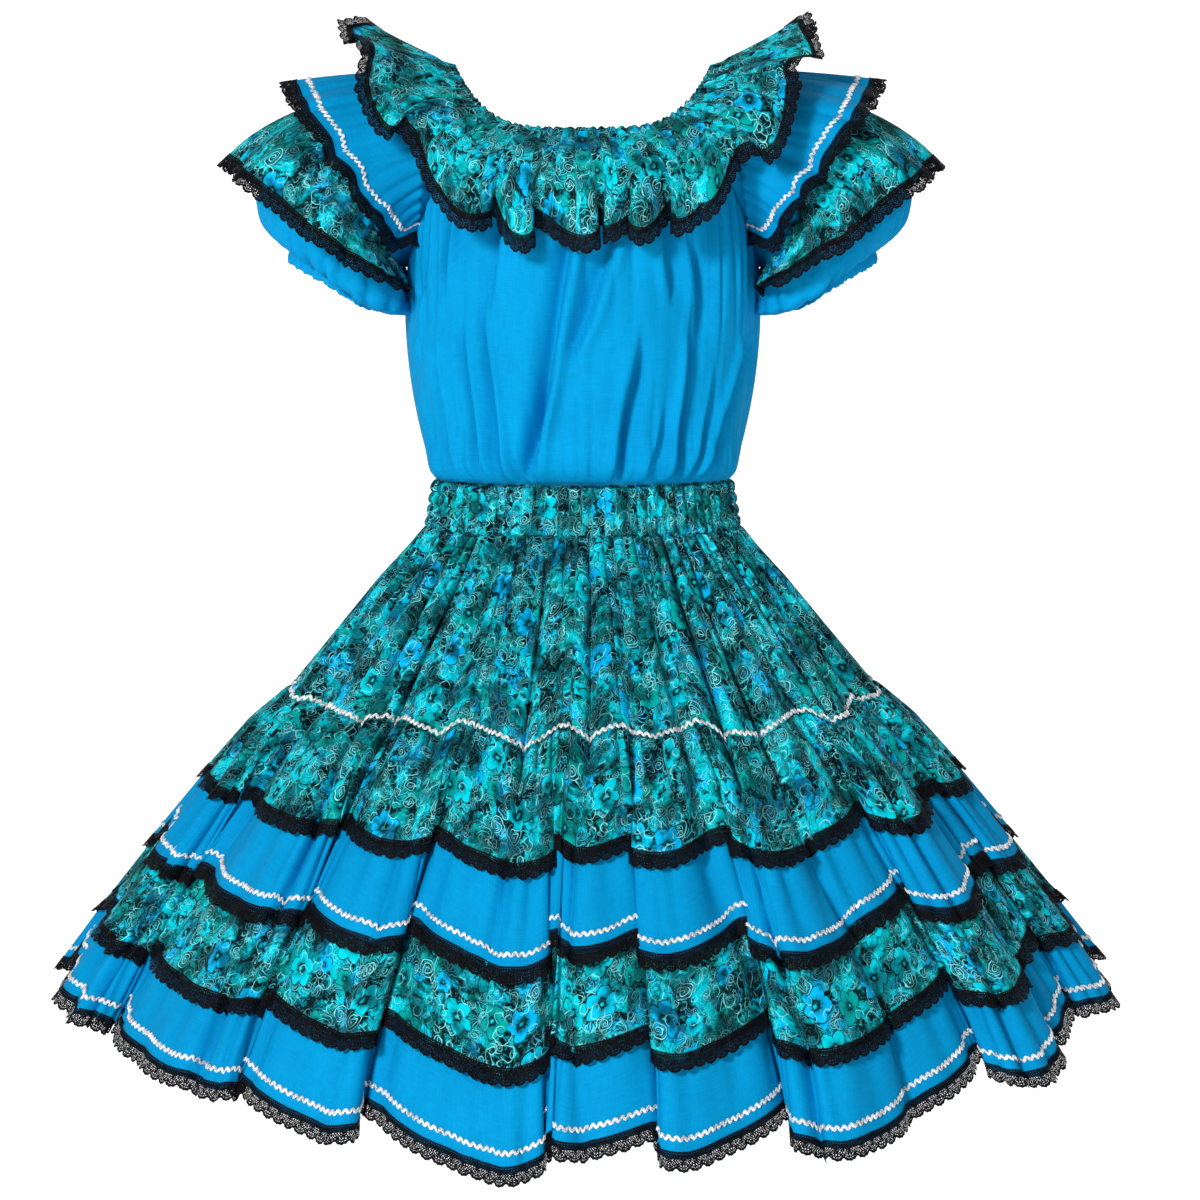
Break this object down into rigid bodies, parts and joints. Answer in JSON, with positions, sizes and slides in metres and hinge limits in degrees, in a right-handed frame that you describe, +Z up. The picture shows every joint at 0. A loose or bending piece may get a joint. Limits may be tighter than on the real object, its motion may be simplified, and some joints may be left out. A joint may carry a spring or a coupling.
{
  "type": "square dance dress",
  "caption": "Hollow, worn-shape square dance dress with a ruffled elastic neck, flounced puff sleeves and a full tiered skirt edged in lace and rick-rack.",
  "frame": {"origin": "centre of the waist, level with the top of the waistband, where the wearer's waist holds the dress up", "axes": "+Z up towards the neck, -Y the front of the dress, +X the wearer's left"},
  "size_m": [0.9686, 0.9576, 0.9073],
  "materials": {
    "blue_cotton": "plain woven cotton, turquoise blue, soft low sheen",
    "printed_cotton": "cotton print of flowers, leaves and scrolls in emerald, turquoise and blue on near black",
    "black_lace": "black scalloped nylon lace edging with a corded heading",
    "silver_braid": "silver metallic rick-rack braid, sparkling"
  },
  "bodies": {
    "root": {"bodice_front": "blue_cotton", "bodice_back": "blue_cotton", "skirt_tier_3": "blue_cotton", "skirt_tier_5": "blue_cotton", "sleeve_left": "blue_cotton", "sleeve_right": "blue_cotton", "sleeve_left_upper_flounce": "blue_cotton", "sleeve_right_upper_flounce": "blue_cotton", "waistband": "printed_cotton", "neck_ruffle": "printed_cotton", "skirt_tier_1": "printed_cotton", "skirt_tier_2": "printed_cotton", "skirt_tier_4": "printed_cotton", "sleeve_left_lower_flounce": "printed_cotton", "sleeve_right_lower_flounce": "printed_cotton", "neck_ruffle_lace": "black_lace", "skirt_tier_2_lace": "black_lace", "skirt_tier_3_lace": "black_lace", "skirt_tier_4_lace": "black_lace", "skirt_tier_5_lace": "black_lace", "sleeve_left_upper_flounce_lace": "black_lace", "sleeve_left_lower_flounce_lace": "black_lace", "sleeve_right_upper_flounce_lace": "black_lace", "sleeve_right_lower_flounce_lace": "black_lace", "skirt_tier_1_braid": "silver_braid", "skirt_tier_3_braid": "silver_braid", "skirt_tier_5_braid": "silver_braid", "sleeve_left_upper_flounce_braid": "silver_braid", "sleeve_right_upper_flounce_braid": "silver_braid"}
  },
  "joints": []
}
